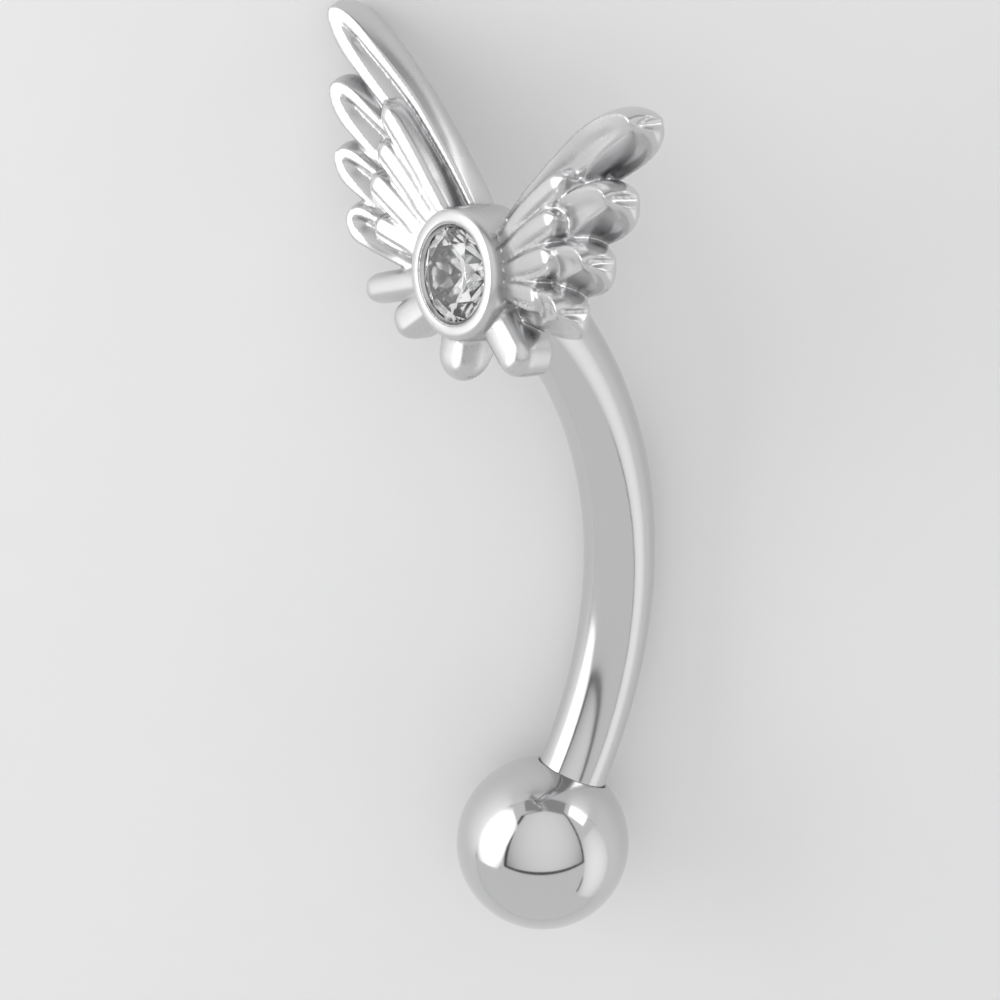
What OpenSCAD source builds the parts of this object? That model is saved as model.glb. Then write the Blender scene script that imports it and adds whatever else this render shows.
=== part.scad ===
// Curved eyebrow barbell with a cast winged top that holds a round stone.
// It is drawn first with the stone's axis along +Z, the wings to +X and -X and the ball
// below at -Y, and is then turned as a whole to lie as it does by itself on a flat surface.

/* [Bar] */
// Diameter of the bar
bar_d = 1.2; // [1:0.1:1.6]
// Radius of the bar's bend, along its middle
bend_r = 8; // [6.5:0.5:12]
// Angle of the bend from the back of the winged top's cup to the ball
bend_sweep = 75; // [50:1:85]
// Angle between the stone's axis and the bend where it meets the back of the cup
bar_lean = 33; // [20:1:40]
// Distance from the stone's axis down to where the bend meets the back of the cup
bar_drop = 0.15; // [0:0.05:0.3]
// Diameter of the plain post at each end of the bar
post_d = 0.8; // [0.6:0.05:0.9]

/* [Ball] */
// Diameter of the ball
ball_d = 3; // [2.5:0.25:4]
// Length of the post inside the ball
ball_post_len = 1.7; // [1:0.1:1.9]

/* [Stone] */
// Diameter of the stone at its girdle
stone_d = 1.66; // [1.4:0.02:1.9]
// Diameter of the stone's table
table_d = 0.94; // [0.6:0.02:1.1]
// Angle of the crown's main facets
crown_angle = 33; // [25:1:38]
// Angle of the pavilion's main facets
pavilion_angle = 41; // [36:1:44]
// Thickness of the stone at its girdle
girdle_t = 0.06; // [0.03:0.01:0.12]

/* [Bezel] */
// Width of the rim round the stone
rim_w = 0.24; // [0.18:0.02:0.5]
// Height of the rim's crest above the tail's plane
rim_h = 0.22; // [0.1:0.02:0.5]
// Height over which the rim rounds off outwards
rim_fall = 0.26; // [0.1:0.02:0.4]
// How far the rim is turned in over the stone's girdle
rim_grip = 0.06; // [0.03:0.01:0.12]
// Depth of the stone's girdle below the rim's crest
girdle_sink = 0.18; // [0.12:0.02:0.4]
// Thickness of metal behind the stone's point
floor_t = 0.2; // [0.1:0.05:0.5]

/* [Socket] */
// Wall of the socket round the bar's post
socket_wall = 0.18; // [0.12:0.02:0.4]
// Length of the post inside the socket, and so of the socket behind the cup
socket_post_len = 0.8; // [0.5:0.1:1.2]
// Depth that the bar itself is let into the ball
shoulder_sink = 0.1; // [0.05:0.05:0.2]

/* [Wings] */
// Reach of a wing from the stone's axis to its outer tip, along the wing
wing_reach = 3.5; // [2.8:0.1:5]
// Rise of a wing's top tip above the stone's axis
wing_rise = 3.15; // [2.5:0.05:4.5]
// Height of the wings' front above the tail's plane, where they leave the bezel
wing_lift = 0.14; // [0:0.02:0.3]
// Angle at which the wings are bent forward
wing_cant = 8; // [0:1:15]
// Thickness of the long feathers at their tips
feather_t = 0.62; // [0.5:0.02:0.9]
// Width of a long feather
feather_w = 0.7; // [0.55:0.01:0.8]
// Width of a short front feather
covert_w = 0.5; // [0.4:0.01:0.6]
// Step down from the short front feathers to the long ones beneath
covert_step = 0.32; // [0.2:0.02:0.45]
// Depth of the hollow along a long feather
hollow_depth = 0.13; // [0.05:0.01:0.2]

/* [Tail] */
// Reach of the middle tail feather below the stone's axis
tail_reach = 1.7; // [1.5:0.02:2.2]
// Width of the middle tail feather
tail_w = 0.84; // [0.7:0.02:1.2]
// Thickness of the tail feathers at their roots
tail_t = 0.74; // [0.5:0.02:0.9]
// Height of the rounded part of a tail feather, on its front
tail_dome = 0.36; // [0.2:0.02:0.5]

/* [Fits] */
// Gap between the stone and the bezel
stone_gap = 0.02; // [0.01:0.005:0.04]
// Gap round a post in its bore
post_gap = 0.02; // [0.01:0.005:0.05]
// Gap left at the end of a post and behind a shoulder
end_gap = 0.03; // [0.01:0.01:0.1]

/* [Hidden] */
$fn = 48;
overlap = 0.05;

// Levels along the stone's axis, from the rim's crest down
opening_r = stone_d / 2 - rim_grip;
rim_r = opening_r + rim_w;
girdle_z = rim_h - girdle_sink;
culet_z = girdle_z - girdle_t - tan(pavilion_angle) * stone_d / 2;
cup_back_z = culet_z - floor_t;

// The bend starts at the cup's back, and runs round a centre in the plane x = 0. Its
// first stretch is the socket, which takes the post, and the bar's shoulder follows it.
bar_start = [0, -bar_drop, cup_back_z];
bend_centre = bar_start + bend_r * [0, -cos(bar_lean), sin(bar_lean)];
function bar_dir(a) = [0, -sin(bar_lean + a), -cos(bar_lean + a)];
function bar_point(a) = bend_centre + bend_r * [0, cos(bar_lean + a), -sin(bar_lean + a)];
seat_angle = socket_post_len / bend_r * 180 / PI;
socket_r = post_d / 2 + post_gap + socket_wall;
socket_root = socket_r * tan(bar_lean + seat_angle);

// The ball's middle lies on the bar's line, where the bar's edge meets the ball
ball_seat = sqrt(pow(ball_d / 2, 2) - pow(bar_d / 2, 2));
ball_centre = bar_point(bend_sweep) + (ball_seat - shoulder_sink) * bar_dir(bend_sweep);

// Columns of the feather tables: where the middle of the feather starts and ends,
// the first as a share of the wing's reach and the second of its rise, how far it bows
// up as a share of its length, its width as a share of its kind's width, and the
// heights of its crest at root and tip as shares of the step between the two layers
ROOT_X = 0;
ROOT_Y = 1;
TIP_X = 2;
TIP_Y = 3;
BOW = 4;
WIDTH = 5;
ROOT_H = 6;
TIP_H = 7;
LONG_FEATHERS = [
    [0.12, 0.24, 1.02, 1.04, 0.045, 1.06, -0.9, 0.0],
    [0.16, 0.14, 0.95, 0.68, 0.020, 1.08, -1.0, 0.0],
    [0.18, 0.03, 0.87, 0.36, 0.010, 1.02, -1.0, 0.0],
    [0.18, -0.08, 0.75, 0.08, 0.000, 1.00, -1.0, 0.0],
];
SHORT_FEATHERS = [
    [0.155, 0.195, 0.63, 0.68, 0.02, 0.94, -0.4, 0.1],
    [0.18, 0.125, 0.67, 0.52, 0.02, 1.00, -0.4, 0.1],
    [0.20, 0.06, 0.64, 0.31, 0.00, 1.08, -0.4, 0.1],
    [0.20, 0.01, 0.59, 0.085, -0.01, 1.00, -0.4, 0.0],
];

// Columns of a feather's section: place across the half width, and depth below the
// crest, as shares. The last column is the share of the hollow's depth.
ACROSS = 0;
DROP = 1;
HOLLOW = 2;
LONG_SECTION = [
    [-0.86, 1, 0], [-1, 0.8, 0], [-1, 0.24, 0], [-0.86, 0.05, 0], [-0.66, 0, 0], [-0.3, 0.05, 0.7],
    [0, 0.05, 1], [0.3, 0.05, 0.7], [0.66, 0, 0], [0.86, 0.05, 0], [1, 0.24, 0], [1, 0.8, 0], [0.86, 1, 0],
];
SHORT_SECTION = [
    [-1, 1, 0], [-1, 0.5, 0], [-0.86, 0.22, 0], [-0.5, 0.04, 0], [0, 0, 0],
    [0.5, 0.04, 0], [0.86, 0.22, 0], [1, 0.5, 0], [1, 1, 0],
];

// Places of the sections along a feather, closer together towards its round tip
STATIONS = [0, 0.25, 0.5, 0.7, 0.83, 0.92, 0.975, 1];
widest_at = 0.68;
tip_fullness = 3;
root_share = 0.6;
tip_share = 0.16;
tip_droop = 0.25;
droop_power = 10;
groove_end = 0.9;

// Half width of a feather at t, as a share: it swells to its widest and rounds to its tip
function leaf(t) =
    t < widest_at
        ? root_share + (1 - root_share) * sin(90 * t / widest_at)
        : max(tip_share, sqrt(max(0, 1 - pow((t - widest_at) / (1 - widest_at), tip_fullness))));

function feather_root(row) = [row[ROOT_X] * wing_reach, row[ROOT_Y] * wing_rise];
function feather_tip(row) = [row[TIP_X] * wing_reach, row[TIP_Y] * wing_rise];
function bowed_middle(row) =
    let (a = feather_root(row), b = feather_tip(row), d = b - a)
    (a + b) / 2 + 2 * row[BOW] * [-d[1], d[0]];
function middle_at(row, t) =
    pow(1 - t, 2) * feather_root(row) + 2 * t * (1 - t) * bowed_middle(row) + t * t * feather_tip(row);
function unit(v) = v / norm(v);
function side_at(row, t) =
    let (d = unit((1 - t) * (bowed_middle(row) - feather_root(row)) + t * (feather_tip(row) - bowed_middle(row))))
    [-d[1], d[0]];

// One ring of points round a feather at t
function feather_ring(row, section, width, thickness, hollow, t) =
    let (
        p = middle_at(row, t),
        s = side_at(row, t) * leaf(t) * row[WIDTH] * width / 2,
        crest = covert_step * (row[ROOT_H] + (row[TIP_H] - row[ROOT_H]) * sin(90 * t)),
        droop = tip_droop * thickness * pow(t, droop_power),
        groove = hollow * sin(180 * min(1, t / groove_end))
    )
    [for (q = section) [
        p[0] + s[0] * q[ACROSS],
        p[1] + s[1] * q[ACROSS],
        crest - droop * (1 - q[DROP]) - q[DROP] * thickness - q[HOLLOW] * groove
    ]];

// A closed solid through rings that all have the same number of points
module loft(rings) {
    n = len(rings[0]);
    last = len(rings) - 1;
    polyhedron(
        points = [for (r = rings) for (p = r) p],
        faces = concat(
            [[for (i = [n - 1 : -1 : 0]) i]],
            [[for (i = [0 : n - 1]) last * n + i]],
            [for (k = [0 : last - 1]) for (i = [0 : n - 1]) let (j = (i + 1) % n)
                [k * n + i, k * n + j, (k + 1) * n + i]],
            [for (k = [0 : last - 1]) for (i = [0 : n - 1]) let (j = (i + 1) % n)
                [k * n + j, (k + 1) * n + j, (k + 1) * n + i]]
        )
    );
}

module feather(row, section, width, thickness, hollow) {
    loft([for (t = STATIONS) feather_ring(row, section, width, thickness, hollow, t)]);
}

// One wing, bent forward about the edge of the bezel
module wing() {
    translate([rim_r, 0, wing_lift])
        rotate([0, -wing_cant, 0])
            translate([-rim_r, 0, 0]) {
                for (row = LONG_FEATHERS) feather(row, LONG_SECTION, feather_w, feather_t, hollow_depth);
                for (row = SHORT_FEATHERS)
                    feather(row, SHORT_SECTION, covert_w, covert_step + feather_t / 2, 0);
            }
}

// The points of a wing's long feathers, bent forward as the wing is
function bent_forward(p) = [
    rim_r + (p[0] - rim_r) * cos(wing_cant) - p[2] * sin(wing_cant),
    p[1],
    wing_lift + (p[0] - rim_r) * sin(wing_cant) + p[2] * cos(wing_cant)
];
RIGHT_POINTS = [
    for (row = LONG_FEATHERS) for (t = STATIONS)
        for (p = feather_ring(row, LONG_SECTION, feather_w, feather_t, hollow_depth, t)) bent_forward(p)
];
LEFT_POINTS = [for (p = RIGHT_POINTS) [-p[0], p[1], p[2]]];

// The piece lies by itself on its ball, on the bend of its bar and on its left wing. A
// plane that touches the ball and the bend has a normal that follows from one angle, and
// that angle is halved in until the wing's lowest point touches the plane too.
ball_arm = ball_centre - bend_centre;
arm_turn = atan2(ball_arm[2], ball_arm[1]);
flattest = 205;
steepest = 260;
halvings = 40;
function touching_normal(a) =
    let (r = min(1, (ball_d - bar_d) / 2 / (bend_r + norm(ball_arm) * cos(a - arm_turn))))
    [sqrt(1 - r * r), r * cos(a), r * sin(a)];
function lowest(points, up) = min([for (p = points) p * up]);
function wing_gap(up) = lowest(LEFT_POINTS, up) - (ball_centre * up - ball_d / 2);
function rest_angle(low, high, n) =
    let (middle = (low + high) / 2)
    n == 0 ? middle
    : wing_gap(touching_normal(middle)) > 0 ? rest_angle(middle, high, n - 1)
    : rest_angle(low, middle, n - 1);
rest_up = touching_normal(rest_angle(arm_turn + flattest, arm_turn + steepest, halvings));

// Lying, the piece points its ball to +Y, and the middle of its footprint is the origin
rest_along = unit([0, -1, 0] + rest_up[1] * rest_up);
rest_side = cross(rest_along, rest_up);
function reach(way) = max(-lowest(concat(LEFT_POINTS, RIGHT_POINTS), -way), ball_centre * way + ball_d / 2);
function middle_of(way) = (reach(way) - reach(-way)) / 2;
rest_floor = ball_centre * rest_up - ball_d / 2;
module at_rest() {
    multmatrix([
        concat(rest_side, -middle_of(rest_side)),
        concat(rest_along, -middle_of(rest_along)),
        concat(rest_up, -rest_floor),
    ])
        children();
}

// Columns of the tail table: angle round the stone's axis, reach and width as shares of
// the middle tail feather's, and thickness at the tip as a share of that at the root. The
// left side has one small feather more.
TURN = 0;
REACH = 1;
TAIL_WIDTH = 2;
TIP_T = 3;
TAIL_FEATHERS = [
    [-90, 1.00, 1.00, 0.45],
    [-35, 1.10, 0.86, 0.85],
    [-138, 1.18, 0.76, 0.70],
    [-157, 1.48, 0.60, 0.70],
];

tail_root = 0.3;
tail_bend = 0.7;

// A round stud with a domed front, from which the tail feathers are hulled
module tail_stud(r, thickness) {
    dome = min(tail_dome, thickness);
    translate([0, 0, -thickness])
        for (a = [0 : 18 : 72]) cylinder(r = r * cos(a), h = thickness - dome + dome * sin(a), $fn = 24);
}

module tail_feather(row) {
    r = row[TAIL_WIDTH] * tail_w / 2;
    tip = row[REACH] * tail_reach - r;
    rotate([0, 0, row[TURN]]) {
        hull() {
            translate([tail_root * tip, 0, 0]) tail_stud(r, tail_t);
            translate([tail_bend * tip, 0, 0]) tail_stud(r, tail_t);
        }
        hull() {
            translate([tail_bend * tip, 0, 0]) tail_stud(r, tail_t);
            translate([tip, 0, 0]) tail_stud(r, row[TIP_T] * tail_t);
        }
    }
}

// The outside of the cup that the stone sits in, with a chamfer round its foot. Its rim
// is highest close to the stone and falls away outwards in a quarter round.
crest_share = 0.2;
lip_share = 0.1;
foot_chamfer = 0.25;
module cup_outside() {
    crest_r = opening_r + crest_share * rim_w;
    lip_z = rim_h - lip_share * rim_fall;
    rotate_extrude()
        polygon(concat(
            [[0, cup_back_z], [rim_r - foot_chamfer, cup_back_z], [rim_r, cup_back_z + foot_chamfer]],
            [for (a = [0 : 15 : 90]) [
                crest_r + (rim_r - crest_r) * cos(a),
                rim_h - rim_fall * (1 - sin(a))
            ]],
            [[opening_r, lip_z], [0, lip_z]]
        ));
}

// The room for the stone: its own outline with a gap all round, open to the front
module stone_room() {
    r = stone_d / 2 + stone_gap;
    rotate_extrude()
        polygon([
            [0, culet_z - stone_gap / cos(pavilion_angle)],
            [r, girdle_z - girdle_t - stone_gap],
            [r, girdle_z + stone_gap],
            [opening_r, girdle_z + stone_gap + (r - opening_r) * tan(crown_angle)],
            [opening_r, rim_h + overlap],
            [0, rim_h + overlap],
        ]);
}

// Turns +Z to run along the bar at the angle a of its bend, away from the winged top
module along_bar(a) {
    translate(bar_point(a)) rotate([180 - bar_lean - a, 0, 0]) children();
}

// The socket behind the cup, in line with the bar's end and rooted in the cup
module socket_outside() {
    along_bar(seat_angle)
        translate([0, 0, -socket_post_len - socket_root])
            cylinder(r = socket_r, h = socket_post_len + socket_root - end_gap);
}

module socket_bore() {
    along_bar(seat_angle)
        translate([0, 0, -socket_post_len - end_gap])
            cylinder(d = post_d + 2 * post_gap, h = socket_post_len + end_gap);
}

module winged_setting() {
    color("silver")
        at_rest()
            difference() {
                union() {
                    cup_outside();
                    socket_outside();
                    wing();
                    mirror([1, 0, 0]) wing();
                    for (row = TAIL_FEATHERS) tail_feather(row);
                }
                stone_room();
                socket_bore();
            }
}

module curved_bar() {
    color("lightgray")
        at_rest() {
            translate(bend_centre)
                rotate([0, -90, 0])
                    rotate([0, 0, 90 + bar_lean + seat_angle])
                        rotate_extrude(angle = bend_sweep - seat_angle)
                            translate([bend_r, 0]) circle(d = bar_d);
            along_bar(seat_angle)
                translate([0, 0, -socket_post_len]) cylinder(d = post_d, h = socket_post_len + overlap);
            along_bar(bend_sweep)
                translate([0, 0, -overlap]) cylinder(d = post_d, h = ball_post_len + overlap);
        }
}

module ball() {
    color("gainsboro")
        at_rest()
            difference() {
                translate(ball_centre) sphere(d = ball_d);
                along_bar(bend_sweep) {
                    translate([0, 0, -ball_d]) cylinder(d = bar_d + 2 * post_gap, h = ball_d + end_gap);
                    cylinder(d = post_d + 2 * post_gap, h = ball_post_len + end_gap);
                }
            }
}

// A round brilliant: table, star, kite and half facets above the girdle, mains and
// halves below it, in eight-fold symmetry
facet_turn = 45;
half_turn = facet_turn / 2;
star_share = 0.74;
lower_share = 0.24;
table_z = girdle_z + (stone_d - table_d) / 2 * tan(crown_angle);
star_r = star_share * stone_d / 2;
star_z = table_z - (star_r * cos(half_turn) - table_d / 2) * tan(crown_angle);
lower_r = lower_share * stone_d / 2;
lower_z = culet_z + lower_r * cos(half_turn) * tan(pavilion_angle);
function ring_point(r, a, z) = [r * cos(a), r * sin(a), z];

module stone() {
    TABLE = 0;
    STAR = 8;
    TOP = 16;
    BOTTOM = 32;
    LOWER = 48;
    CULET = 56;
    color("white")
        at_rest()
            polyhedron(
                points = concat(
                    [for (i = [0 : 7]) ring_point(table_d / 2, i * facet_turn, table_z)],
                    [for (i = [0 : 7]) ring_point(star_r, i * facet_turn + half_turn, star_z)],
                    [for (i = [0 : 15]) ring_point(stone_d / 2, i * half_turn, girdle_z)],
                    [for (i = [0 : 15]) ring_point(stone_d / 2, i * half_turn, girdle_z - girdle_t)],
                    [for (i = [0 : 7]) ring_point(lower_r, i * facet_turn + half_turn, lower_z)],
                    [[0, 0, culet_z]]
                ),
                faces = concat(
                    [[for (i = [7 : -1 : 0]) TABLE + i]],
                    [for (i = [0 : 7]) [TABLE + i, TABLE + (i + 1) % 8, STAR + i]],
                    [for (i = [0 : 7]) [TABLE + i, STAR + i, TOP + 2 * i, STAR + (i + 7) % 8]],
                    [for (i = [0 : 7]) [STAR + i, TOP + 2 * i + 1, TOP + 2 * i]],
                    [for (i = [0 : 7]) [STAR + i, TOP + (2 * i + 2) % 16, TOP + 2 * i + 1]],
                    [for (i = [0 : 15]) [TOP + i, TOP + (i + 1) % 16, BOTTOM + (i + 1) % 16, BOTTOM + i]],
                    [for (i = [0 : 7]) [LOWER + i, BOTTOM + 2 * i, BOTTOM + 2 * i + 1]],
                    [for (i = [0 : 7]) [LOWER + i, BOTTOM + 2 * i + 1, BOTTOM + (2 * i + 2) % 16]],
                    [for (i = [0 : 7]) [CULET, LOWER + (i + 7) % 8, BOTTOM + 2 * i, LOWER + i]]
                )
            );
}

curved_bar();
ball();
winged_setting();
stone();
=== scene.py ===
import math
from collections import namedtuple

import bpy
import numpy as np
from mathutils import Matrix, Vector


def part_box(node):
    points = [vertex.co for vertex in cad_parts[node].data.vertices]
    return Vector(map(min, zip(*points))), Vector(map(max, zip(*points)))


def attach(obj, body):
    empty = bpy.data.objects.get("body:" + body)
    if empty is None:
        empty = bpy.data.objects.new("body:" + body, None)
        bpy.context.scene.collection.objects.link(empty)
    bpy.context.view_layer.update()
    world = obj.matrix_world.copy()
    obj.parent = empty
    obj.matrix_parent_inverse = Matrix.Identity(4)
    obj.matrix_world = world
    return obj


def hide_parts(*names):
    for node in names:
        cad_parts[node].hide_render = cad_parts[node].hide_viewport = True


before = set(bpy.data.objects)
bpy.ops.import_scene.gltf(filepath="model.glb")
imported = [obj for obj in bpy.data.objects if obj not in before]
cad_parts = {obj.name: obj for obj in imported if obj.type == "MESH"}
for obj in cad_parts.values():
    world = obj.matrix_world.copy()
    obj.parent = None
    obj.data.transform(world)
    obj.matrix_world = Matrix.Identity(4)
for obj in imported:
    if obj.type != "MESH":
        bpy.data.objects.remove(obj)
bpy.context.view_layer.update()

# Camera
# It stands where the photograph was taken from: before the jewel, to the right of it and
# a little above its stone, and so well above the surface that the piece lies on.
#
# The jewel was drawn upright, with its stone facing forward and its ball below, and lies
# turned on the surface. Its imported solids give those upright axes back: the stone faces
# along its own axis, and the ball is straight below it. Lengths on these axes are in
# millimetres, from the level of the tail feathers.
MM = 1000.0
DECIMALS = 4
CULET_DEPTH = 0.7415
stone_corners = [MM * v.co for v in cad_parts["stone"].data.vertices]
stone_points = np.unique(np.round(stone_corners, DECIMALS), axis=0)
stone_middle = stone_points.mean(0)
facing = np.linalg.eigh(np.cov((stone_points - stone_middle).T))[1][:, 0]
heights = (stone_points - stone_middle) @ facing
if -heights.min() < heights.max():
    facing = -facing
culet = stone_points[np.argmin(stone_points @ facing)]
ball_low, ball_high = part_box("ball")
downward = (np.array(ball_low) + np.array(ball_high)) / 2 * MM - stone_middle
downward = downward - (downward @ facing) * facing
upward = -downward / np.linalg.norm(downward)
AXES = np.array([np.cross(upward, facing), upward, facing])
MIDDLE = culet + CULET_DEPTH * facing


def placed(points):
    """Points on the jewel's upright axes, in millimetres, as places in the frame."""
    return (MIDDLE + np.asarray(points, float) @ AXES) / MM


CAMERA_PLACE = (27.37, 9.83, 23.83)
CAMERA_BACK = (0.6889, 0.3441, 0.6379)
CAMERA_UP = (-0.3571, 0.9270, -0.1144)
CAMERA_LENS = 90
CAMERA_SENSOR = 36
NEAREST = 0.001
FARTHEST = 5
back = np.array(CAMERA_BACK) @ AXES
back = back / np.linalg.norm(back)
up = np.array(CAMERA_UP) @ AXES
up = up - (up @ back) * back
up = up / np.linalg.norm(up)
right = np.cross(up, back)
camera_data = bpy.data.cameras.new("camera")
camera_data.lens = CAMERA_LENS
camera_data.sensor_width = CAMERA_SENSOR
camera_data.clip_start = NEAREST
camera_data.clip_end = FARTHEST
camera = bpy.data.objects.new("camera", camera_data)
bpy.context.scene.collection.objects.link(camera)
turn = Matrix(np.array([right, up, back]).T.tolist()).to_4x4()
camera.matrix_world = Matrix.Translation(placed(CAMERA_PLACE).tolist()) @ turn
bpy.context.scene.camera = camera


# Surface
# A plain pale sheet of satin acrylic that the jewel lies on. Seen from above it is even,
# and low down it takes a soft shine from the lit walls. It is no part of the jewel.
class Wire:
    """A socket of a material's nodes, on which plain sums can be written."""

    def __init__(self, tree, socket=None):
        self.tree = tree
        self.socket = socket

    def node(self, kind, settings=None, inputs=None, output=0):
        """One node of a kind, with its settings, then the values or wires of its sockets."""
        made = self.tree.nodes.new("ShaderNode" + kind)
        for name, value in (settings or {}).items():
            setattr(made, name, value)
        for key, value in (inputs or {}).items():
            if isinstance(value, Wire):
                self.tree.links.new(value.socket, made.inputs[key])
            else:
                made.inputs[key].default_value = value
        return Wire(self.tree, made.outputs[output])

    def math(self, operation, first, second, clamp=False):
        return self.node("Math", {"operation": operation, "use_clamp": clamp}, {0: first, 1: second})

    def limited(self):
        """The same value, held between 0 and 1."""
        return self.math("ADD", self, 0.0, clamp=True)

    def place(self):
        """The place of each point of the surface, in metres."""
        return self.node("TexCoord", output="Object")

    def along(self, way):
        """How far this place lies along a way."""
        return self.node("VectorMath", {"operation": "DOT_PRODUCT"}, {0: self, 1: way}, "Value")

    def noise(self, scale, detail, roughness=0.5):
        """Soft random patches over this place, from 0 to 1."""
        inputs = {"Vector": self, "Scale": scale, "Detail": detail, "Roughness": roughness}
        return self.node("TexNoise", None, inputs)

    def blend(self, low, high):
        """A colour that goes from low to high as this wire goes from 0 to 1."""
        colour_low, colour_high, colour_out = 6, 7, 2
        inputs = {0: self, colour_low: (*low, 1), colour_high: (*high, 1)}
        return self.node("Mix", {"data_type": "RGBA"}, inputs, colour_out)

    def feed(self, shader, name):
        self.tree.links.new(self.socket, shader.inputs[name])

    def show(self):
        """Makes this shader the material's surface."""
        self.feed(self.tree.nodes["Material Output"], "Surface")

    def __add__(self, other):
        return self.math("ADD", self, other)

    def __sub__(self, other):
        return self.math("SUBTRACT", self, other)

    def __rsub__(self, other):
        return self.math("SUBTRACT", other, self)

    def __mul__(self, other):
        return self.math("MULTIPLY", self, other)

    __radd__ = __add__
    __rmul__ = __mul__


def new_material(name):
    """A material, its Principled shader and a wire to write its sums from."""
    made = bpy.data.materials.new(name)
    made.use_nodes = True
    return made, made.node_tree.nodes["Principled BSDF"], Wire(made.node_tree)


def stage_mesh(name, points, material):
    """A flat piece of the studio, which is no part of the jewel."""
    mesh = bpy.data.meshes.new(name)
    mesh.from_pydata([tuple(p) for p in points], [], [tuple(range(len(points)))])
    mesh.materials.append(material)
    made = bpy.data.objects.new(name, mesh)
    bpy.context.scene.collection.objects.link(made)
    return made


SHEET_HALF = 0.6
SHEET_CORNERS = ((-1, -1), (1, -1), (1, 1), (-1, 1))
SHEET_ROUGHNESS = 0.38
SHEET_PALE = (0.88, 0.88, 0.88)
SHEET_SPECK = (0.865, 0.865, 0.87)
SPECK_SCALE = 900.0
sheet_card, sheet_shader, w = new_material("pale_sheet")
mottle = w.place().noise(SPECK_SCALE, detail=3.0)
mottle.blend(SHEET_PALE, SHEET_SPECK).feed(sheet_shader, "Base Color")
sheet_shader.inputs["Roughness"].default_value = SHEET_ROUGHNESS
stage_mesh("floor", [(x * SHEET_HALF, y * SHEET_HALF, 0) for x, y in SHEET_CORNERS], sheet_card)

# Light
# A soft white tent round the jewel. Its lit walls are what polished steel shows: a bright
# wall to the side that the front faces, a plain panel round the camera with a dark edge,
# a grey wall beyond the wings and a small bright one beside it.
ROOM_GREY = 0.74
world = bpy.data.worlds.new("room")
world.use_nodes = True
world.node_tree.nodes["Background"].inputs["Color"].default_value = (ROOM_GREY, ROOM_GREY, ROOM_GREY, 1)
bpy.context.scene.world = world
bpy.context.scene.view_settings.view_transform = "Standard"


def tent_wall(name, corners, brightness, fade=0.0):
    """A wall of the tent, given by its corners, that glows and fades towards its edges."""
    corners = np.array(corners, float)
    cloth = bpy.data.materials.new(name)
    cloth.use_nodes = True
    cloth.node_tree.nodes.remove(cloth.node_tree.nodes["Principled BSDF"])
    w = Wire(cloth.node_tree)
    centre = corners.mean(0)
    from_centre = w.node("VectorMath", {"operation": "SUBTRACT"}, {0: w.place(), 1: centre})
    spread = 0.0
    for side in (corners[1] - corners[0], corners[2] - corners[1]):
        half = side / 2
        share = from_centre.along(half / (half @ half))
        spread = share * share + spread
    w.node("Emission", None, {"Color": 1 - spread * fade, "Strength": brightness}).show()
    stage_mesh(name, corners, cloth).visible_camera = False


def standing(x, y, width, height, turn_degrees):
    """The corners of a wall that stands on the sheet at (x, y), turned about the upright."""
    a = math.radians(turn_degrees)
    half = np.array((math.cos(a), math.sin(a), 0)) * width / 2
    foot = np.array((x, y, 0.0))
    lift = np.array((0, 0, height))
    return [foot - half, foot + half, foot + half + lift, foot - half + lift]


def square_to_view(distance, places):
    """Points on the plane square to the view, at shares of its distance right and up."""
    return [distance * (back + x * right + y * up) for x, y in places]


# Each standing wall's foot (x, y), width and height in metres and its turn in degrees,
# then its brightness and how much of that is lost at the middle of each of its edges.
STANDING_WALLS = (
    ("bright_wall", (0.05, -0.008, 0.078, 0.045, 90), 2.9, 0.45),
    ("far_wall", (-0.06, 0.015, 0.09, 0.04, -90), 1.15, 0.2),
    ("grey_wall", (0.006, -0.06, 0.060, 0.021, 0), 0.34, 0.0),
    ("small_bright_wall", (-0.038, -0.045, 0.026, 0.017, -45), 2.4, 0.2),
)
for name, place, brightness, fade in STANDING_WALLS:
    tent_wall(name, standing(*place), brightness, fade)

# The panel round the camera, the dark rim behind it and a dark seam beyond one corner.
PANEL_AWAY = 0.12
RIM_AWAY = PANEL_AWAY + 0.001
PANEL_GLOW = 0.95
PANEL_FADE = 0.12
DARK_GLOW = 0.06
PANEL = ((-0.58, 0.99), (0.66, 1.22), (1.44, -0.61), (-1.28, -0.74))
PANEL_RIM = ((-0.72, 0.99), (0.70, 1.30), (1.60, -0.70), (-1.52, -0.86))
SEAM = ((1.95, -1.7), (2.07, -1.7), (3.10, -4.2), (2.84, -4.2))
tent_wall("camera_panel", square_to_view(PANEL_AWAY, PANEL), PANEL_GLOW, PANEL_FADE)
tent_wall("panel_edge", square_to_view(RIM_AWAY, PANEL_RIM), DARK_GLOW)
tent_wall("panel_seam", square_to_view(RIM_AWAY, SEAM), DARK_GLOW)

# Winged setting
# One casting of surgical steel: two wings of four long feathers under four short ones,
# four round tail feathers, the cup whose rim holds the stone, and the socket for the
# bar's post. It was carved in wax, cast whole and polished, so its corners are soft.
WING_REACH = 3.5
WING_RISE = 3.15
WING_LIFT = 0.14
WING_CANT = math.radians(8)
FEATHER_T = 0.62
FEATHER_W = 0.70
FEATHER_FLARE = 0.10
COVERT_W = 0.48
COVERT_STEP = 0.32
COVERT_T = COVERT_STEP + FEATHER_T / 2
COVERT_FLARE = 0.04
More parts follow.
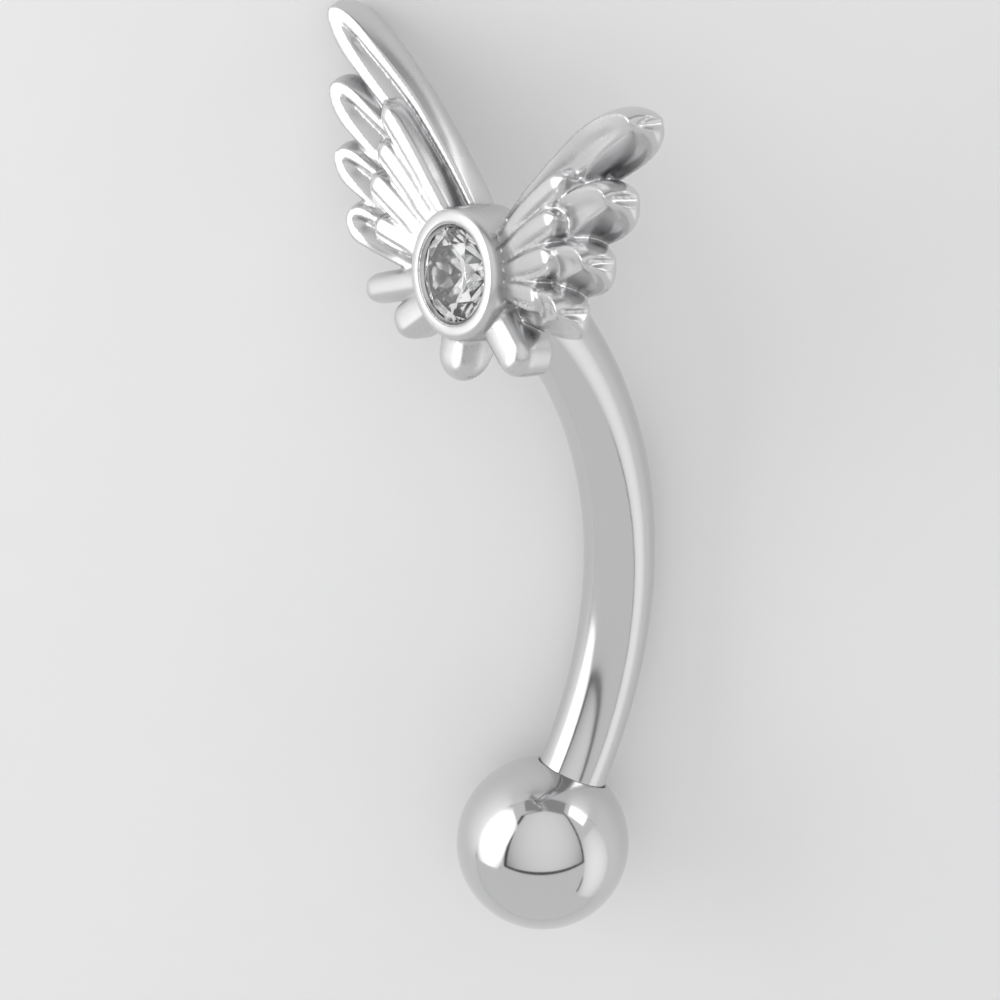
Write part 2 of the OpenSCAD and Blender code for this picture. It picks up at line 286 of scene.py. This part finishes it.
# Each feather's root and tip as shares of reach and rise, its bow and its width as
# shares, and the heights of its crest at root and tip as shares of the step. A long
# feather's last value is the share of its width that its crease takes.
Feather = namedtuple(
    "Feather", "root_x root_y tip_x tip_y bow width crest_root crest_tip crease", defaults=(0.0,)
)
LONG_FEATHERS = (
    Feather(0.12, 0.24, 1.02, 1.04, 0.045, 1.06, -0.9, 0.0, 0.46),
    Feather(0.16, 0.14, 0.95, 0.68, 0.020, 1.08, -1.0, 0.0, 0.56),
    Feather(0.18, 0.03, 0.87, 0.36, 0.010, 1.02, -1.0, 0.0, 0.64),
    Feather(0.18, -0.08, 0.75, 0.08, 0.000, 1.00, -1.0, 0.0, 0.66),
)
SHORT_FEATHERS = (
    Feather(0.155, 0.195, 0.63, 0.68, 0.02, 0.94, -0.4, 0.1),
    Feather(0.18, 0.125, 0.62, 0.49, 0.02, 1.00, -0.4, 0.1),
    Feather(0.20, 0.06, 0.64, 0.31, 0.00, 1.08, -0.4, 0.1),
    Feather(0.20, 0.01, 0.59, 0.085, -0.01, 1.00, -0.4, 0.0),
)
WIDEST_AT = 0.68
TIP_FULLNESS = 3.0
ROOT_SHARE = 0.6
TIP_SHARE = 0.14


def leaf(t):
    """Half width of a feather along its length, as a share."""
    if t < WIDEST_AT:
        return ROOT_SHARE + (1 - ROOT_SHARE) * math.sin(math.pi / 2 * t / WIDEST_AT)
    past = (t - WIDEST_AT) / (1 - WIDEST_AT)
    return max(TIP_SHARE, math.sqrt(max(0, 1 - past**TIP_FULLNESS)))


def tube_faces(rings, around):
    """The faces of a closed tube of rings, with its first and last ring capped. The two
    caps come first."""
    faces = [list(range(around))[::-1], [(rings - 1) * around + i for i in range(around)]]
    for k in range(rings - 1):
        for i in range(around):
            j = (i + 1) % around
            faces.append([k * around + i, k * around + j, (k + 1) * around + j, (k + 1) * around + i])
    return faces


def step_between(low, high, t):
    """Goes smoothly from 0 to 1 as t goes from low to high."""
    k = min(1.0, max(0.0, (t - low) / (high - low)))
    return k * k * (3 - 2 * k)


# The stations across a feather, along it, down its upper side, over its back and up its
# lower side, as shares. Along it they are closer together towards the tip.
ACROSS = np.linspace(-1, 1, 61)
ALONG = 1 - (1 - np.linspace(0, 1, 90)) ** 1.5
DOWN_UPPER_SIDE = (0.08, 0.2, 0.35, 0.5, 0.65, 0.8, 0.92)
OVER_BACK = (0.7, 0.35, 0, -0.45, -0.9)
UP_LOWER_SIDE = (0.95, 0.75, 0.5, 0.25, 0.1)
BULGE = 0.22
BULGE_WHOLE_FROM = 0.3
FLARE_WHOLE_FROM = 0.5
FLARE_DEPTH = 0.75
TIP_PULL = 0.10
TIP_PULL_FROM = 0.75


def feather(row, width, thickness, front, flare, wing):
    """A feather's points and faces. Its front falls below its crest by the length that
    front gives, its lower side flares out to the back, and its other side bulges."""
    root = np.array((row.root_x * WING_REACH, row.root_y * WING_RISE))
    tip = np.array((row.tip_x * WING_REACH, row.tip_y * WING_RISE))
    way = tip - root
    bow = (root + tip) / 2 + 2 * row.bow * np.array((-way[1], way[0]))
    rings = []
    for t in ALONG:
        middle = (1 - t) ** 2 * root + 2 * t * (1 - t) * bow + t * t * tip
        ahead = (1 - t) * (bow - root) + t * (tip - bow)
        side = np.array((-ahead[1], ahead[0])) / np.linalg.norm(ahead)
        half = leaf(t) * row.width * width / 2
        rise = (row.crest_tip - row.crest_root) * math.sin(math.pi / 2 * t)
        crest = COVERT_STEP * (row.crest_root + rise)
        top = crest - front(t, ACROSS, half, wing, row)
        bottom = crest - thickness
        spread = flare * math.sin(math.pi / 2 * min(1, t / FLARE_WHOLE_FROM))
        bulge = BULGE * min(1, t / BULGE_WHOLE_FROM)
        places = [(half * min(q, q * (1 - bulge)), z, 0) for q, z in zip(ACROSS, top)]
        for k in DOWN_UPPER_SIDE:
            places.append((half * (1 - bulge * (2 * k - 1) ** 2), top[-1] + k * (bottom - top[-1]), k))
        places += [(half * q, bottom, 1) for q in OVER_BACK]
        for k in UP_LOWER_SIDE:
            out = half + spread * math.sin(math.pi / 2 * min(1, k / FLARE_DEPTH))
            places.append((-out, top[0] + k * (bottom - top[0]), k))
        pull = TIP_PULL * step_between(TIP_PULL_FROM, 1.0, t) * ahead / np.linalg.norm(ahead)
        rings += [(*(middle + side * s - (2 * k - 1) ** 2 * pull), z) for s, z, k in places]
    return np.array(rings), tube_faces(len(ALONG), len(places))


MOST_ROUND = 0.98


def edge_fall(across, half, radius):
    """How far a front falls close to its two edges, which are rounded off."""
    radius = min(radius, MOST_ROUND * half)
    close = np.clip(radius - (1 - np.abs(across)) * half, 0, radius)
    return radius - np.sqrt(radius * radius - close * close)


# A long feather's front, in shares of its half width and its length, and in millimetres.
# The two wings were carved a little unlike, so that some values differ for the right
# wing (1) and the left (-1).
EDGE_ROUND = 0.05
CREASE_AT = 0.05
CREASE_END = 0.93
CREASE_RUN_OUT = 0.12
CREASE_TAPER = 4
CREASE_POINT = 0.6
CREASE_LEAST = 0.001
CREASE_DEPTH = {1: 0.04, -1: 0.16}
SLOPE_DOWN = {1: 0.26, -1: 0.0}
BORDER_AT_ROOT = -0.92
BORDER_FROM = 0.45
BORDER_LENGTH = 0.55
BORDER_BEND = 1.3
BORDER_SHIFT = {1: 1.2, -1: 0.25}
FACET_W = 0.12
FACET_FROM = 0.70
FACET_WHOLE_FROM = 0.95
FACET_SLOPE = 0.45
WALL_SLOPE = 1.4
DIP = 0.11
DIP_WHOLE_TO = 0.42
DIP_TO = 0.78


def long_front(t, across, half, wing, row):
    """A long feather's front. It dips beside the short ones, and has a crease along its
    middle. Past a border that crosses towards the tip it falls away to the lower side."""
    narrowing = max(0.0, 1 - (t / CREASE_END) ** CREASE_TAPER) ** CREASE_POINT
    share = row.crease * narrowing + CREASE_LEAST
    depth = CREASE_DEPTH[wing] * min(1.0, max(0.0, CREASE_END - t) / CREASE_RUN_OUT)
    crease = depth * np.clip(1 - np.abs(across - CREASE_AT) / share, 0, 1)
    crossing = max(0.0, (t - BORDER_FROM) / BORDER_LENGTH) ** BORDER_BEND
    border = BORDER_AT_ROOT + BORDER_SHIFT[wing] * crossing
    past = np.maximum(0, border - across) * half
    facet = FACET_W * step_between(FACET_FROM, FACET_WHOLE_FROM, t)
    wall = FACET_SLOPE * np.minimum(past, facet) + WALL_SLOPE * np.maximum(0, past - facet)
    lean = SLOPE_DOWN[wing] * half * (1 - np.maximum(across, border))
    dip = DIP * (1 - step_between(DIP_WHOLE_TO, DIP_TO, t))
    return edge_fall(across, half, EDGE_ROUND) + crease + wall + lean + dip


# A short feather's front, in the same shares and millimetres.
SHORT_EDGE_ROUND = 0.08
PILLOW = 0.05
PILLOW_POWER = 3
SHORT_SLOPE = 0.6
LINE_AT = -0.55
LINE_W = 0.10
LINE_DEPTH = 0.08
LINE_FROM = 0.30
LINE_LENGTH = 0.68
TIP_FALL = 0.10
TIP_FALL_FROM = 0.85
TIP_FALL_LENGTH = 0.15


def short_front(t, across, half, wing, row):
    """A short feather's front: a pillow with one fine line cut beside its lower edge, and
    a tip that rounds down."""
    swell = PILLOW * np.abs(across) ** PILLOW_POWER
    lean = SHORT_SLOPE * SLOPE_DOWN[wing] * half * (1 - across)
    on_line = min(1.0, max(0.0, (t - LINE_FROM) / LINE_LENGTH))
    line = LINE_DEPTH * max(0.0, math.sin(math.pi * on_line))
    groove = line * np.exp(-(((across - LINE_AT) / LINE_W) ** 2))
    cut = TIP_FALL * max(0.0, (t - TIP_FALL_FROM) / TIP_FALL_LENGTH) ** 2
    return swell + lean + edge_fall(across, half, SHORT_EDGE_ROUND) + groove + cut


# The cup's rim is highest close to the stone and rounds off outwards, where it is a
# little squarer than a circle.
OPENING_R = 0.77
RIM_R = 1.01
RIM_H = 0.22
RIM_FALL = 0.26
SQUARENESS = 2 / 3.4
CUP_BACK = -0.9415
FOOT_CHAMFER = 0.25
LIP_FALL = 0.1 * RIM_FALL
CREST_R = OPENING_R + 0.2 * (RIM_R - OPENING_R)
AXIS_R = 0.001
quarter = np.linspace(0, math.pi / 2, 25)
inner_angles = quarter[::-3]
outer_angles = quarter[1:]
RIM = [
    (CREST_R + (OPENING_R - CREST_R) * math.sin(a), RIM_H - LIP_FALL * (1 - math.cos(a)))
    for a in inner_angles
]
for a in outer_angles:
    outward = (RIM_R - CREST_R) * math.sin(a) ** SQUARENESS
    fall = RIM_FALL * (1 - max(0, math.cos(a)) ** SQUARENESS)
    RIM.append((CREST_R + outward, RIM_H - fall))
CUP = [(AXIS_R, RIM_H - LIP_FALL)] + RIM
CUP += [(RIM_R, CUP_BACK + FOOT_CHAMFER), (RIM_R - FOOT_CHAMFER, CUP_BACK), (AXIS_R, CUP_BACK)]


def bent_forward(points, side):
    """Wing points turned forward about the cup's edge, for the right (1) or left (-1)."""
    x = points[:, 0] - RIM_R
    return np.stack([
        side * (RIM_R + x * math.cos(WING_CANT) - points[:, 2] * math.sin(WING_CANT)),
        points[:, 1],
        WING_LIFT + x * math.sin(WING_CANT) + points[:, 2] * math.cos(WING_CANT),
    ], axis=1)


def turned(profile, around=192):
    """A form turned about the stone's axis, from pairs of radius and height."""
    angles = np.linspace(0, 2 * np.pi, around, endpoint=False)
    points = [(r * math.cos(a), r * math.sin(a), z) for r, z in profile for a in angles]
    return np.array(points), tube_faces(len(profile), around)


# The bar's bend lies in the plane through the stone's axis, and the socket is in line.
BEND_R = 8.0
BAR_R = 0.6
POST_R = 0.4
SOCKET_POST = 0.8
SOCKET_ROOT = 0.5
SOCKET_BELOW = 0.15
POST_GAP = 0.02
END_GAP = 0.03
LEAN = math.radians(33)
SWEEP = math.radians(75)
SEAT = SOCKET_POST / BEND_R
bend_start = np.array((0, -SOCKET_BELOW, CUP_BACK))
BEND_CENTRE = bend_start + BEND_R * np.array((0, -math.cos(LEAN), math.sin(LEAN)))


def bar_point(a):
    """The point on the bar's middle line at the angle a of its bend."""
    return BEND_CENTRE + BEND_R * np.array((0, math.cos(LEAN + a), -math.sin(LEAN + a)))


def bar_way(a):
    """The way that the bar runs there, towards the ball."""
    return np.array((0, -math.sin(LEAN + a), -math.cos(LEAN + a)))


def swept(stations, around=96):
    """A round form through stations of place, way and radius in the plane of the bend."""
    angles = np.linspace(0, 2 * np.pi, around, endpoint=False)
    one = np.array((1.0, 0.0, 0.0))
    points = []
    for place, way, radius in stations:
        ring = np.outer(np.cos(angles), one) + np.outer(np.sin(angles), np.cross(way, one))
        points.append(place + radius * ring)
    return np.vstack(points), tube_faces(len(stations), around)


# Each tail feather's turn about the stone in degrees, its reach, its width, and its
# thickness at the tip.
TAIL_FEATHERS = (
    (-90, 1.70, 0.84, 0.33),
    (-35, 1.87, 0.72, 0.63),
    (-138, 2.01, 0.64, 0.52),
    (-157, 2.52, 0.50, 0.52),
)
TAIL_T = 0.74
TAIL_DOME = 0.30
TAIL_DOME_MOST = 0.8
TAIL_DOME_POWER = 3
TAIL_FROM = 0.3
TAIL_THINS_FROM = 0.6
TAIL_EDGE_T = 0.02
TAIL_ACROSS = np.linspace(-1, 1, 41)
TAIL_END_TURNS = np.linspace(0.05, 1.53, 24)
TAIL_BACK = (0.95, 0.5, 0, -0.5, -0.95)
SHAFT_STATIONS = 14


def tail_feather(turn_degrees, reach, width, tip_t):
    """A round-ended tail feather with a softly domed front."""
    radius = width / 2
    centre = reach - radius
    shaft = np.linspace(TAIL_FROM * centre, centre, SHAFT_STATIONS)
    end = centre + radius * np.sin(TAIL_END_TURNS)
    thins_from = TAIL_THINS_FROM * centre
    rings = []
    for s in np.concatenate([shaft, end]):
        k = max(0.0, (s - centre) / radius)
        half = radius * math.sqrt(1 - k * k)
        share = min(1.0, max(0.0, (s - thins_from) / (reach - thins_from)))
        bottom = -(TAIL_T + (tip_t - TAIL_T) * share)
        dome = min(TAIL_DOME, -TAIL_DOME_MOST * bottom)
        drop = dome * (1 - math.sqrt(1 - k**TAIL_DOME_POWER))
        rounding = 1 - np.sqrt(np.maximum(0, 1 - np.abs(TAIL_ACROSS) ** TAIL_DOME_POWER))
        top = -drop - (dome - drop) * rounding
        places = [(half * q, z) for q, z in zip(TAIL_ACROSS, np.maximum(top, bottom + TAIL_EDGE_T))]
        places += [(half * q, bottom) for q in TAIL_BACK]
        rings += [(s, y, z) for y, z in places]
    points = np.array(rings)
    angle = math.radians(turn_degrees)
    spin = np.array([[math.cos(angle), -math.sin(angle)], [math.sin(angle), math.cos(angle)]])
    points[:, :2] = points[:, :2] @ spin.T
    return points, tube_faces(len(shaft) + len(end), len(places))


def wax_forms():
    """All the forms that are carved in the wax as one, each a closed shell."""
    forms = []
    for side in (1, -1):
        for row in LONG_FEATHERS:
            points, faces = feather(row, FEATHER_W, FEATHER_T, long_front, FEATHER_FLARE, side)
            forms.append((bent_forward(points, side), faces))
        for row in SHORT_FEATHERS:
            points, faces = feather(row, COVERT_W, COVERT_T, short_front, COVERT_FLARE, side)
            forms.append((bent_forward(points, side), faces))
    forms += [tail_feather(*row) for row in TAIL_FEATHERS]
    forms.append(turned(CUP))
    way = bar_way(SEAT)
    foot = bar_point(SEAT) - (SOCKET_POST + SOCKET_ROOT) * way
    forms.append(swept([(foot, way, BAR_R), (bar_point(SEAT) - END_GAP * way, way, BAR_R)]))
    return forms


def joined(forms):
    """Several shells as one list of points and faces, each shell wound outwards."""
    points, faces, base = [], [], 0
    for form_points, form_faces in forms:
        a, b, c, d = (form_points - form_points.mean(0))[np.array(form_faces[2:]).T]
        inside_out = (np.cross(b - a, c - a) * a + np.cross(c - a, d - a) * a).sum() < 0
        faces += [[base + i for i in (f[::-1] if inside_out else f)] for f in form_faces]
        points.append(form_points)
        base += len(form_points)
    return np.vstack(points), faces


def loose_object(name, forms):
    """A mesh of closed shells that is only worked on, and never shown."""
    points, faces = joined(forms)
    mesh = bpy.data.meshes.new(name)
    mesh.from_pydata(points.tolist(), [], faces)
    made = bpy.data.objects.new(name, mesh)
    bpy.context.scene.collection.objects.link(made)
    return made


def after_modifiers(made):
    """A mesh with the object's modifiers applied. The object itself is removed."""
    shown = made.evaluated_get(bpy.context.evaluated_depsgraph_get())
    mesh = bpy.data.meshes.new_from_object(shown)
    bpy.data.objects.remove(made)
    return mesh


def mesh_points(mesh):
    points = np.zeros(len(mesh.vertices) * 3)
    mesh.vertices.foreach_get("co", points)
    return points.reshape(-1, 3)


def worn_smooth(mesh, rounds):
    """Draws each point towards its neighbours: a little on ridges, as polishing wears
    them, and more in the valleys, where the wax was filleted."""
    points = mesh_points(mesh)
    edges = np.zeros(len(mesh.edges) * 2, np.int32)
    mesh.edges.foreach_get("vertices", edges)
    a, b = edges.reshape(-1, 2).T
    count = np.bincount(a, minlength=len(points)) + np.bincount(b, minlength=len(points))
    normals = np.zeros(len(points) * 3)
    mesh.vertices.foreach_get("normal", normals)
    normals = normals.reshape(-1, 3)
    for ridge_share, valley_share in rounds:
        total = np.zeros_like(points)
        for k in range(3):
            total[:, k] = np.bincount(a, points[b, k], len(points))
            total[:, k] += np.bincount(b, points[a, k], len(points))
        pull = total / count[:, None] - points
        valley = (pull * normals).sum(1) > 0
        points = points + np.where(valley, valley_share, ridge_share)[:, None] * pull
    mesh.vertices.foreach_set("co", points.ravel())
    mesh.update()


def turned_true(points, profile, reach):
    """Points within reach of a turned profile are drawn onto it exactly, and those up to
    twice as far are drawn part of the way."""
    radius = np.hypot(points[:, 0], points[:, 1])
    flat = np.stack([radius, points[:, 2]], 1)
    best = np.full(len(points), np.inf)
    onto = flat.copy()
    for p, q in zip(np.array(profile[:-1]), np.array(profile[1:])):
        along = np.clip((flat - p) @ (q - p) / ((q - p) @ (q - p)), 0, 1)
        near = p + along[:, None] * (q - p)
        away = np.linalg.norm(flat - near, axis=1)
        better = away < best
        best[better] = away[better]
        onto[better] = near[better]
    moved = flat + np.clip(2 - best / reach, 0, 1)[:, None] * (onto - flat)
    scale = moved[:, 0] / np.maximum(radius, 1e-6)
    return np.stack([points[:, 0] * scale, points[:, 1] * scale, moved[:, 1]], 1)


# The wax's grain, and the shares that each round of wear draws ridges and valleys by:
# three rounds over all, six that fill the valleys, and a last light one.
GRAIN = 0.0225
WEAR = [(0.5, 0.5)] * 3 + [(0.08, 0.6)] * 6 + [(0.4, 0.4)]
RIM_TRUE_WITHIN = 0.03
FACES_KEPT = 0.55
wax = loose_object("wax", wax_forms())
one_body = wax.modifiers.new("one_body", "REMESH")
one_body.mode = "VOXEL"
one_body.voxel_size = GRAIN
wax = after_modifiers(wax)
worn_smooth(wax, WEAR)
wax.vertices.foreach_set("co", turned_true(mesh_points(wax), RIM, RIM_TRUE_WITHIN).ravel())
wax.update()
body = bpy.data.objects.new("casting_body", wax)
bpy.context.scene.collection.objects.link(body)
body.modifiers.new("thinned", "DECIMATE").ratio = FACES_KEPT

# The seat for the stone and the bore for the post are cut last. The seat's lip is
# burnished over the edge of the stone, so it slopes down to it.
STONE_R = 0.83
STONE_GAP = 0.02
GIRDLE_Z = 0.04
GIRDLE_T = 0.06
CROWN = math.radians(33)
PAVILION = math.radians(41)
SEAT_R = STONE_R + STONE_GAP
LIP_R = 0.71
MOUTH_R = OPENING_R - 0.01
CLEAR = 0.3
SEAT_PROFILE = [
    (AXIS_R, -CULET_DEPTH - STONE_GAP / math.cos(PAVILION)),
    (SEAT_R, GIRDLE_Z - GIRDLE_T - STONE_GAP),
    (SEAT_R, GIRDLE_Z + STONE_GAP),
    (LIP_R, GIRDLE_Z + STONE_GAP + (SEAT_R - LIP_R) * math.tan(CROWN)),
    (MOUTH_R, RIM_H - LIP_FALL),
    (MOUTH_R, RIM_H + CLEAR),
    (AXIS_R, RIM_H + CLEAR),
]
bore_foot = bar_point(SEAT) - (SOCKET_POST + END_GAP) * bar_way(SEAT)
bore_mouth = bar_point(SEAT) + bar_way(SEAT)
bore = swept([(place, bar_way(SEAT), POST_R + POST_GAP) for place in (bore_foot, bore_mouth)])
cutters = [loose_object("seat_cutter", [turned(SEAT_PROFILE)]), loose_object("bore_cutter", [bore])]
for cutter in cutters:
    cut = body.modifiers.new(cutter.name, "BOOLEAN")
    cut.operation = "DIFFERENCE"
    cut.solver = "MANIFOLD"
    cut.object = cutter
casting_mesh = after_modifiers(body)
for cutter in cutters:
    bpy.data.objects.remove(cutter)

# How much the patches and the painted shade in the deep corners take from the steel's
# colour, and how much the patches and the fine lines change its roughness, as shares of it.
PATCH_SHADE = 0.3
PAINTED_CORNER_SHADE = 0.9
PATCH_ROUGHNESS = 0.3
LINE_ROUGHNESS = 0.4
PATCH_SCALE = 420.0


def steel(name, bright, dull, roughness, line_scale, line_depth, painted_shade_reach=0.0):
    """Polished steel: its colours, its roughness, the scale and depth in metres of the
    fine lines that the wheel leaves, and how far, in metres, painted shade darkens its
    deep corners."""
    made, shader, w = new_material(name)
    place = w.place()
    patches = place.noise(PATCH_SCALE, detail=4.0, roughness=0.6)
    stretched = w.node("Mapping", None, {"Vector": place, "Scale": line_scale})
    lines = stretched.noise(1.0, detail=5.0, roughness=0.65)
    shade = patches * PATCH_SHADE
    if painted_shade_reach:
        # Painted shade: ambient occlusion darkens the base colour in the deep corners.
        open_share = w.node("AmbientOcclusion", {"samples": 4}, {"Distance": painted_shade_reach}, "AO")
        shade = (shade + (1 - open_share) * PAINTED_CORNER_SHADE).limited()
    shade.blend(bright, dull).feed(shader, "Base Color")
    rougher_patches = (patches - 0.5) * (PATCH_ROUGHNESS * roughness)
    rougher_lines = (lines - 0.5) * (LINE_ROUGHNESS * roughness)
    (roughness + rougher_patches + rougher_lines).feed(shader, "Roughness")
    w.node("Bump", None, {"Strength": 1.0, "Distance": line_depth, "Height": lines}).feed(shader, "Normal")
    shader.inputs["Metallic"].default_value = 1.0
    return made


def new_piece(name, mesh, material, node, crease_degrees):
    """A piece whose mesh is on the jewel's upright axes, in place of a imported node."""
    mesh.name = name
    mesh.vertices.foreach_set("co", placed(mesh_points(mesh)).ravel())
    mesh.validate()
    mesh.polygons.foreach_set("use_smooth", [True] * len(mesh.polygons))
    mesh.set_sharp_from_angle(angle=math.radians(crease_degrees))
    mesh.materials.clear()
    mesh.materials.append(material)
    mesh.update()
    piece = bpy.data.objects.new(name, mesh)
    bpy.context.scene.collection.objects.link(piece)
    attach(piece, "root")
    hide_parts(node)
    return piece


cast_steel = steel(
    "cast_steel",
    bright=(0.70, 0.70, 0.705),
    dull=(0.40, 0.40, 0.405),
    roughness=0.26,
    line_scale=(900.0, 900.0, 900.0),
    line_depth=0.000001,
    # how far painted shade darkens the casting's deep corners, in metres
    painted_shade_reach=0.00035,
)
new_piece("winged_casting", casting_mesh, cast_steel, "winged_setting", crease_degrees=50)

# Stone
# A clear round brilliant, cut and polished, set table up in the cup under its turned-in
# rim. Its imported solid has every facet, and only gets its finish here: clear in front,
# and silvered behind its girdle, which makes it as light as it looks.
STONE_IOR = 2.15
STONE_CLEAR = (1.0, 1.0, 1.0)
STONE_VEIL = (0.965, 0.97, 0.975)
VEIL_SCALE = 900.0
VEIL_ROUGHNESS = 0.012
SILVER_FROM = GIRDLE_Z - GIRDLE_T - 0.003
SILVER_PALE = (0.97, 0.97, 0.97, 1)
SILVER_ROUGHNESS = 0.07
clear, clear_shader, w = new_material("clear_stone")
clear_shader.inputs["Transmission Weight"].default_value = 1.0
clear_shader.inputs["IOR"].default_value = STONE_IOR
veil = w.place().noise(VEIL_SCALE, detail=2.0)
veil.blend(STONE_CLEAR, STONE_VEIL).feed(clear_shader, "Base Color")
(veil * VEIL_ROUGHNESS).feed(clear_shader, "Roughness")
level = w.place().along(facing)
behind = w.math("LESS_THAN", level, float((MIDDLE @ facing + SILVER_FROM) / MM))
silver_finish = {"Base Color": SILVER_PALE, "Metallic": 1.0, "Roughness": SILVER_ROUGHNESS}
silver = w.node("BsdfPrincipled", None, silver_finish)
front_shader = Wire(w.tree, clear_shader.outputs["BSDF"])
w.node("MixShader", None, {0: behind, 1: front_shader, 2: silver}).show()
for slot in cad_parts["stone"].material_slots:
    slot.material = clear

# Curved bar
# A round steel rod bent to one arc and polished along its length, with a plain post
# turned on each end: one is fixed in the socket of the top, and one is in the ball.
SHOULDER_BREAK = 0.04
POST_BREAK = 0.06
BALL_POST = 1.7
BEND_STATIONS = 180


def post(a, length, sign):
    """The stations of a post at one end of the bar, from its far end to its shoulder."""
    place, way = bar_point(a), bar_way(a)
    return [
        (place + sign * length * way, way, AXIS_R),
        (place + sign * length * way, way, POST_R - POST_BREAK),
        (place + sign * (length - POST_BREAK) * way, way, POST_R),
        (place, way, POST_R),
        (place, way, BAR_R - SHOULDER_BREAK),
    ]


def shell(name, stations, around):
    """A closed mesh through round stations, wound outwards."""
    points, faces = joined([swept(stations, around)])
    mesh = bpy.data.meshes.new(name)
    mesh.from_pydata(points.tolist(), [], faces)
    return mesh


break_angle = SHOULDER_BREAK / BEND_R
bend_angles = np.linspace(SEAT + break_angle, SWEEP - break_angle, BEND_STATIONS)
stations = post(SEAT, SOCKET_POST, -1)
stations += [(bar_point(a), bar_way(a), BAR_R) for a in bend_angles]
stations += post(SWEEP, BALL_POST, 1)[::-1]
bar_steel = steel(
    "bar_steel",
    bright=(0.66, 0.66, 0.665),
    dull=(0.56, 0.56, 0.57),
    roughness=0.13,
    line_scale=(2600.0, 260.0, 2600.0),
    line_depth=0.0000015,
)
new_piece("bent_bar", shell("bar", stations, 96), bar_steel, "curved_bar", crease_degrees=35)

# Ball
# A plain steel ball, turned and polished to a mirror. It has a flat let in where the
# bar's shoulder seats, and a blind bore for the post.
BALL_R = 1.5
SHOULDER_SINK = 0.1
MOUTH_LIP = 0.02
BALL_STATIONS = 120
POLE_TURN = math.pi - 0.001
ball_seat = math.sqrt(BALL_R**2 - BAR_R**2) - SHOULDER_SINK
ball_middle = bar_point(SWEEP) + ball_seat * bar_way(SWEEP)
mouth_r = BAR_R + POST_GAP
lip_r = mouth_r + MOUTH_LIP
lip_z = -math.sqrt(BALL_R**2 - lip_r**2)
ball_profile = [
    (AXIS_R, BALL_POST + END_GAP - ball_seat),
    (POST_R + POST_GAP, BALL_POST + END_GAP - ball_seat),
    (POST_R + POST_GAP, END_GAP - ball_seat),
    (mouth_r, END_GAP - ball_seat),
    (mouth_r, lip_z + MOUTH_LIP),
]
ball_turns = np.linspace(math.atan2(lip_r, -lip_z), POLE_TURN, BALL_STATIONS)
ball_profile += [(BALL_R * math.sin(a), -BALL_R * math.cos(a)) for a in ball_turns]
stations = [(ball_middle + z * bar_way(SWEEP), bar_way(SWEEP), r) for r, z in ball_profile]
ball_steel = steel(
    "ball_steel",
    bright=(0.66, 0.66, 0.665),
    dull=(0.60, 0.60, 0.61),
    roughness=0.09,
    line_scale=(700.0, 700.0, 2500.0),
    line_depth=0.0000008,
)
new_piece("polished_ball", shell("ball", stations, 160), ball_steel, "ball", crease_degrees=35)
